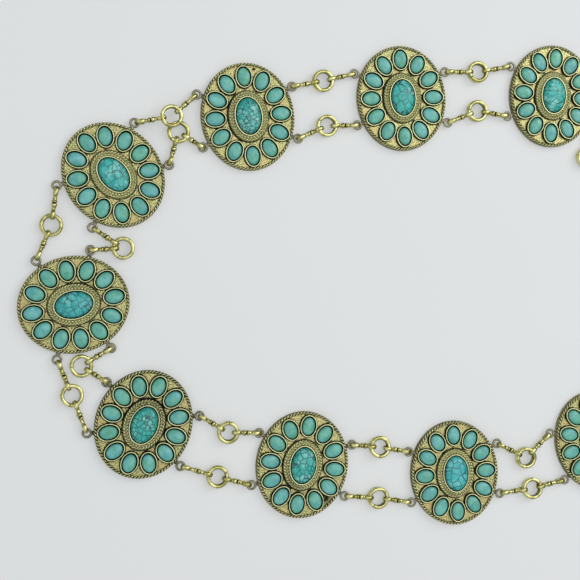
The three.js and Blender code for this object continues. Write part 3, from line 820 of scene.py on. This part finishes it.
# Where single medallions are darker: number, place on the medallion, size and strength
tarnishSpots = {
    4: [((5.2, 21.3), 0.7, 1.2)],
    7: [((0.0, 0.0), 40.0, 0.22)],
    8: [((0.0, 0.0), 40.0, 0.08), ((-13.4, 14.1), 2.2, 0.7)],
    9: [((0.0, 0.0), 40.0, 0.06)],
}


def tarnish(mesh, spots):
    count = len(mesh.vertices)
    points = np.empty(3 * count, np.float32)
    mesh.vertices.foreach_get("co", points)
    points = points.reshape(-1, 3)[:, :2] / mm
    dark = np.empty(count, np.float32)
    mesh.attributes["patinaAndShade"].data.foreach_get("value", dark)
    for spot, size, strength in spots:
        dark += strength * np.exp(-(np.linalg.norm(points - np.array(spot), axis=1) / size) ** 2)
    mesh.attributes["patinaAndShade"].data.foreach_set("value", dark.astype(np.float32))


def wornPatches(draws):
    patches = []
    for _ in range(wearPatches["count"]):
        spot = (draws.uniform(-wearPatches["along"], wearPatches["along"]),
                draws.uniform(-wearPatches["across"], wearPatches["across"]))
        patches.append((spot, draws.uniform(*wearPatches["size"]), draws.uniform(*wearPatches["strength"])))
    return patches


for i, (heading, (x, y)) in enumerate(zip(headings, middles)):
    number = i + 1
    place = Matrix.Translation((x * mm, y * mm, 0)) @ Matrix.Rotation(math.radians(heading), 4, "Z")
    mesh = castingMesh.copy()
    draws = random.Random(seeds["darkening"] + number)
    spots = tarnishSpots.get(number, [])
    tarnish(mesh, wornPatches(draws) + spots)
    mesh.transform(place)
    addPiece(f"casting_{number:02d}", mesh, antiqueMaterial, [f"medallion_{number:02d}"])
    draws = random.Random(seeds["stones"] + number)
    stonesForm = Form()
    aside = turnedBy(np.array([stonePlay["aside"]]), -math.radians(heading))[0]
    turnPlay, liftPlay, shiftPlay = stonePlay["turn"], stonePlay["lift"], stonePlay["shift"]
    for aim, middle in smallPlaces():
        tilt = aim + math.radians(draws.uniform(-turnPlay, turnPlay))
        lift = draws.uniform(-liftPlay, liftPlay)
        spot = (middle[0] + aside[0] + draws.uniform(-shiftPlay, shiftPlay),
                middle[1] + aside[1] + draws.uniform(-shiftPlay, shiftPlay), lift)
        dome(stonesForm, smallStone["halfLong"], smallStone["halfWide"], smallStone["profile"],
             smallStone["top"], smallStone["segments"], tilt, spot, draws.random())
    mesh = stonesForm.mesh("small_stones")
    mesh.transform(place)
    addPiece(f"small_stones_{number:02d}", mesh, smallStonesMaterial)
    mesh = centerMesh.copy()
    mesh.transform(place)
    addPiece(f"center_cabochon_{number:02d}", mesh, centerStoneMaterial(number),
             [f"center_stone_{number:02d}"])
print("medallions are made")


# Strands, in millimetres
strand = {
    "reach": 16.5,
    "height": 2.3,
    "lift": 3.78,
    "ringRadius": 4.3,
    "seamPlace": (0.6, 5.6),  # how far round the ring its seam may lie, in radians
    "mostTip": 5.0,  # of a ring, in degrees
    "barLength": 14.4,
    "earPlay": (-1.15, 0.0),  # from an ear's middle to the bar's end, slack and taut
    "ringPlay": (1.55, 2.25),  # from a ring's middle to the bar's end
    "earLoop": 5.3,
    "ringLoop": 5.0,
    "loopHeight": 4.25,
    "loopRoll": 9.0,  # in degrees
    "loopPatina": 0.12,
    "neckRadius": 0.92,
    "neckPatina": 0.2,
    "neckOverlap": 1.4,  # how far the neck runs into the loops, in half widths of their wire
    "knuckleAside": 0.3,  # how far the knuckle sits towards the ring
    "knuckleRoom": 2.0,  # the neck's half length that leaves the knuckle its full length
    "sides": 16,
}
ringWire = {"radial": 0.88, "lateral": 1.62, "roundness": 0.6, "innerShade": 0.6, "count": 56, "sides": 20}
loopWire = {"radial": 0.6, "lateral": 0.98, "roundness": 0.8, "innerShade": 0.3, "count": 28, "sides": 12}
# Where the rings of each pair of strands lie: how far along the line from the earlier ear to the
# later one and how far to its left, in reaches, and whether the ring lies on top of its neighbour
strandRoute = [
    ((1.02, 0.1, False), (0.31, 0.91, False)),
    ((1.04, 0.08, False), (0.91, -0.24, False)),
    ((0.94, 0.02, False), (0.87, -0.17, False)),
    ((0.92, 0.27, True), (0.4, -0.67, False)),
    ((1.06, 0.14, False), (0.48, 0.86, False)),
    ((1.04, 0.01, False), (0.57, -0.72, False)),
    ((1.07, -0.02, False), (0.9, -0.22, False)),
    ((0.99, 0.04, False), (0.82, 0.03, False)),
    ((1.01, -0.05, False), (0.82, -0.57, False)),
    ((1.01, 0.1, False), (0.32, 0.91, False)),
]
# Distance from the middle of the knuckle, radius and patina: a disc, a dark groove and a ball
knuckle = [(-1.75, 0.94, 0.2), (-1.5, 1.02, 0.6), (-1.36, 1.24, 0.15), (-1.0, 1.32, 0.0),
           (-0.76, 1.22, 0.3), (-0.62, 0.98, 1.0), (-0.42, 0.9, 1.0), (-0.24, 0.98, 1.0), (-0.08, 1.2, 0.3),
           (0.2, 1.36, 0.0), (0.6, 1.42, 0.0), (0.98, 1.34, 0.0), (1.28, 1.12, 0.3), (1.45, 0.98, 0.6),
           (1.75, 0.94, 0.2)]


def earPlace(i, sideAlong, sideAcross):
    local = np.array([[sideAlong * ear["along"], sideAcross * ear["across"], strand["height"]]])
    return turnedBy(local, math.radians(headings[i]), (*middles[i], 0))[0]


def unit(vector):
    return vector / np.linalg.norm(vector)


# One bar link: a loop through the ear, the knuckle and a loop round the ring's wire
def addBar(form, earMiddle, ringMiddle, draws):
    gap = ringMiddle - earMiddle
    reach = np.linalg.norm(gap)
    onwards = gap / reach
    spare = reach - strand["barLength"]
    least = strand["earPlay"][0] + strand["ringPlay"][0]
    most = strand["earPlay"][1] + strand["ringPlay"][1]
    share = min(max((spare - least) / (most - least), 0.0), 1.0)
    start = strand["earPlay"][0] + share * (strand["earPlay"][1] - strand["earPlay"][0])
    end = reach - strand["ringPlay"][0] - share * (strand["ringPlay"][1] - strand["ringPlay"][0])
    left = unit(np.cross(upwards, onwards))
    above = np.cross(onwards, left)
    halfHeight = strand["loopHeight"] / 2 - loopWire["radial"]
    for length, middle in ((strand["earLoop"], start + strand["earLoop"] / 2),
                           (strand["ringLoop"], end - strand["ringLoop"] / 2)):
        roll = math.radians(draws.uniform(-strand["loopRoll"], strand["loopRoll"]))
        leaning = math.cos(roll) * above + math.sin(roll) * left
        ovalWire(form, earMiddle + middle * onwards, onwards, leaning,
                 length / 2 - loopWire["radial"], halfHeight, loopWire, strand["loopPatina"])
    overlap = loopWire["radial"] * strand["neckOverlap"]
    neckStart = start + strand["earLoop"] - overlap
    neckEnd = end - strand["ringLoop"] + overlap
    center = (neckStart + neckEnd) / 2 + strand["knuckleAside"]
    squeeze = min(1.0, (neckEnd - neckStart) / 2 / strand["knuckleRoom"])
    profile = [(center + distance * squeeze, radius, dark) for distance, radius, dark in knuckle]
    neck = (strand["neckRadius"], strand["neckPatina"])
    profile = [(neckStart, *neck), *profile, (neckEnd, *neck)]
    turnedBody(form, earMiddle, onwards, left, above, profile, strand["sides"])


def addRing(form, middle, bearings, draws, mostTip):
    # The ring tips a little about the line through the two bars that hold it
    hinge = unit(np.array([math.cos(bearings[0]) - math.cos(bearings[1]),
                           math.sin(bearings[0]) - math.sin(bearings[1]), 0]))
    tip = math.radians(draws.uniform(-mostTip, mostTip))
    level = np.cross(upwards, hinge)
    leaning = math.cos(tip) * level + math.sin(tip) * upwards
    wire = {**ringWire, "seam": draws.uniform(*strand["seamPlace"])}
    ovalWire(form, middle, hinge, leaning, strand["ringRadius"], strand["ringRadius"], wire)


def strandForm(ears, ringMiddle, seed, mostTip=0.0):
    form = Form()
    draws = random.Random(seed)
    bearings = [math.atan2(*(ear - ringMiddle)[[1, 0]]) for ear in ears]
    addRing(form, ringMiddle, bearings, draws, mostTip)
    for place in ears:
        addBar(form, place, ringMiddle, draws)
    return form


for i, places in enumerate(strandRoute):
    for side, sideAcross, (along, aside, lifted) in (("outer", 1, places[0]), ("inner", -1, places[1])):
        fromEar = earPlace(i, -1, sideAcross)
        toEar = earPlace(i + 1, 1, sideAcross)
        ahead = unit(toEar - fromEar)
        left = np.array([-ahead[1], ahead[0], 0])
        ringMiddle = fromEar + strand["reach"] * (along * ahead + aside * left)
        ringMiddle[2] += strand["lift"] if lifted else 0
        name = f"strand_{i + 1:02d}_{side}"
        mostTip = 0.0 if lifted else strand["mostTip"]
        seed = seeds["strands"] + 2 * i + (side == "inner")
        form = strandForm([fromEar, toEar], ringMiddle, seed, mostTip)
        addPiece(f"links_{i + 1:02d}_{side}", form.mesh(name, sharpAngle=60), brassMaterial,
                 [name])
print("strands are made")

# Clasp: plain, hidden from the photograph's view
clasp = {
    "ringHeight": 3.8,
    "hookWire": 0.8,
    "bend": 3.0,
    "bendPoints": 13,
    "slack": 1.25,
    "tip": 2.2,
    "tipShares": (0.4, 0.8, 0.95, 1.0),
    "tipSizes": (1.0, 1.0, 0.8, 0.3),  # the wire gets thinner towards its end
    "patinaAndShade": 0.05,
    "sides": 14,
}
endRings = []
for i, (index, sideAlong) in enumerate(((0, 1), (len(headings) - 1, -1))):
    reachAlong = ear["along"] + math.sqrt(strand["reach"] ** 2 - ear["across"] ** 2)
    local = np.array([[sideAlong * reachAlong, 0, clasp["ringHeight"]]])
    ringMiddle = turnedBy(local, math.radians(headings[index]), (*middles[index], 0))[0]
    endRings.append(ringMiddle)
    ears = [earPlace(index, sideAlong, side) for side in (-1, 1)]
    form = strandForm(ears, ringMiddle, seeds["clasp"] + i)
    addPiece(f"clasp_links_{i + 1:02d}", form.mesh("clasp_end", sharpAngle=60), brassMaterial,
             [f"clasp_end_{i + 1:02d}"])


def hookForm():
    form = Form()
    span = np.linalg.norm(endRings[1] - endRings[0])
    onwards = unit(endRings[1] - endRings[0])
    start = (endRings[0] + endRings[1]) / 2
    start[2] = clasp["hookWire"]
    end = span / 2 - strand["ringRadius"] + ringWire["radial"] + clasp["slack"] + 2 * clasp["hookWire"]
    turnMiddle = end - clasp["hookWire"] - clasp["bend"]
    half = [(turnMiddle + clasp["bend"] * math.cos(turn), clasp["bend"] + clasp["bend"] * math.sin(turn))
            for turn in np.linspace(-math.pi / 2, math.pi / 2, clasp["bendPoints"])]
    half += [(turnMiddle - clasp["tip"] * share, 2 * clasp["bend"]) for share in clasp["tipShares"]]
    sizes = [1.0] * clasp["bendPoints"] + list(clasp["tipSizes"])
    path = [(-along, height) for along, height in reversed(half)] + half
    size = np.array(sizes[::-1] + sizes)
    points = np.array([start + along * onwards + height * upwards for along, height in path])
    ahead = np.gradient(points, axis=0)
    ahead /= np.linalg.norm(ahead, axis=1)[:, None]
    side = np.cross(upwards, onwards)
    out = np.cross(ahead, side)
    sides = clasp["sides"]
    around = np.arange(sides) / sides * fullTurn
    ring = (clasp["hookWire"] * size)[:, None, None] * (
        np.cos(around)[None, :, None] * out[:, None] + np.sin(around)[None, :, None] * side)
    total = len(points) * sides
    form.add(np.vstack([(points[:, None] + ring).reshape(-1, 3), points[:1], points[-1:]]),
             [gridFaces(len(points), sides), fanFaces(0, sides, total, turned=True),
              fanFaces(total - sides, sides, total + 1)], clasp["patinaAndShade"])
    return form


addPiece("hook", hookForm().mesh("hook"), brassMaterial, ["clasp_hook"])
print("clasp is made")

# Every closed skin faces outwards
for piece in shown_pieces():
    if "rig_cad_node" not in piece:
        bpy.context.view_layer.objects.active = piece
        mesh = piece.data
        shape = bmesh.new()
        shape.from_mesh(mesh)
        bmesh.ops.recalc_face_normals(shape, faces=shape.faces)
        shape.to_mesh(mesh)
        shape.free()

# Floor, light and surroundings
studio = {
    "sky": (0.97, 0.985, 1.0),
    "floor": srgb(174, 176, 176),
    "floorHalf": 15.0,  # in metres
    "floorMottle": 0.97,
    "floorScale": 9.0,
    "floorRoughness": 0.75,
    "floorSpecular": 0.15,
    "glowColor": srgb(229, 231, 231),
    "floorGlow": 0.43,
    "skyRise": (0.05, 0.85),  # heights between which the sky goes from horizon to zenith
    "zenith": 0.72,
    "horizon": 0.18,
    "brightSide": (-0.85, -0.5, 0.0),
    "sideRange": (-0.8, 0.8),  # from the side that is dimmest to the brightest
    "dimmest": 0.5,
    "brightest": 1.5,
    "lamps": {"overhead": {"place": (0.45, 0.2, 1.2), "size": 1.1, "power": 5.2},
              "key": {"place": (0.85, 0.55, 0.75), "size": 0.6, "power": 3.6}},
}
floorMesh = bpy.data.meshes.new("floor")
far = studio["floorHalf"]
corners = [(-far, -far, 0), (far, -far, 0), (far, far, 0), (-far, far, 0)]
floorMesh.from_pydata(corners, [], [(0, 1, 2, 3)])
floor = bpy.data.objects.new("floor", floorMesh)
bpy.context.scene.collection.objects.link(floor)
floorMaterial, floorTree, floorShader = newMaterial("floor", studio["floor"])
floorNoise = noiseValue(floorTree, objectPlace(floorTree), studio["floorScale"], 2.0)
darkerFloor = tuple(studio["floorMottle"] * part for part in studio["floor"])
floorColor = mixColor(floorTree, floorNoise, darkerFloor, studio["floor"])
floorTree.links.new(floorColor, floorShader.inputs["Base Color"])
floorShader.inputs["Emission Color"].default_value = (*studio["glowColor"], 1)
floorShader.inputs["Emission Strength"].default_value = studio["floorGlow"]
floorShader.inputs["Roughness"].default_value = studio["floorRoughness"]
floorShader.inputs["Specular IOR Level"].default_value = studio["floorSpecular"]
floorMesh.materials.append(floorMaterial)

world = bpy.data.worlds.new("studio")
bpy.context.scene.world = world
world.use_nodes = True
worldTree = world.node_tree
direction = addNode(worldTree, "ShaderNodeTexCoord").outputs["Generated"]
height = addNode(worldTree, "ShaderNodeSeparateXYZ", Vector=direction).outputs["Z"]
brightness = spread(worldTree, height, *studio["skyRise"], studio["horizon"], studio["zenith"], smooth=True)
towards = vectorNode(worldTree, "DOT_PRODUCT", direction, studio["brightSide"])
slant = spread(worldTree, towards, *studio["sideRange"], studio["dimmest"],
               studio["brightest"])
brightness = mathNode(worldTree, "MULTIPLY", brightness, slant)
background = worldTree.nodes["Background"]
worldTree.links.new(brightness, background.inputs["Strength"])
background.inputs["Color"].default_value = (*studio["sky"], 1)

for name, values in studio["lamps"].items():
    lampData = bpy.data.lights.new(name, "AREA")
    lampData.energy = values["power"]
    lampData.size = values["size"]
    lamp = bpy.data.objects.new(name, lampData)
    lamp.location = values["place"]
    lamp.rotation_euler = (-Vector(values["place"])).to_track_quat("-Z", "Y").to_euler()
    bpy.context.scene.collection.objects.link(lamp)
bpy.context.scene.view_settings.view_transform = "Standard"
print("studio is set")
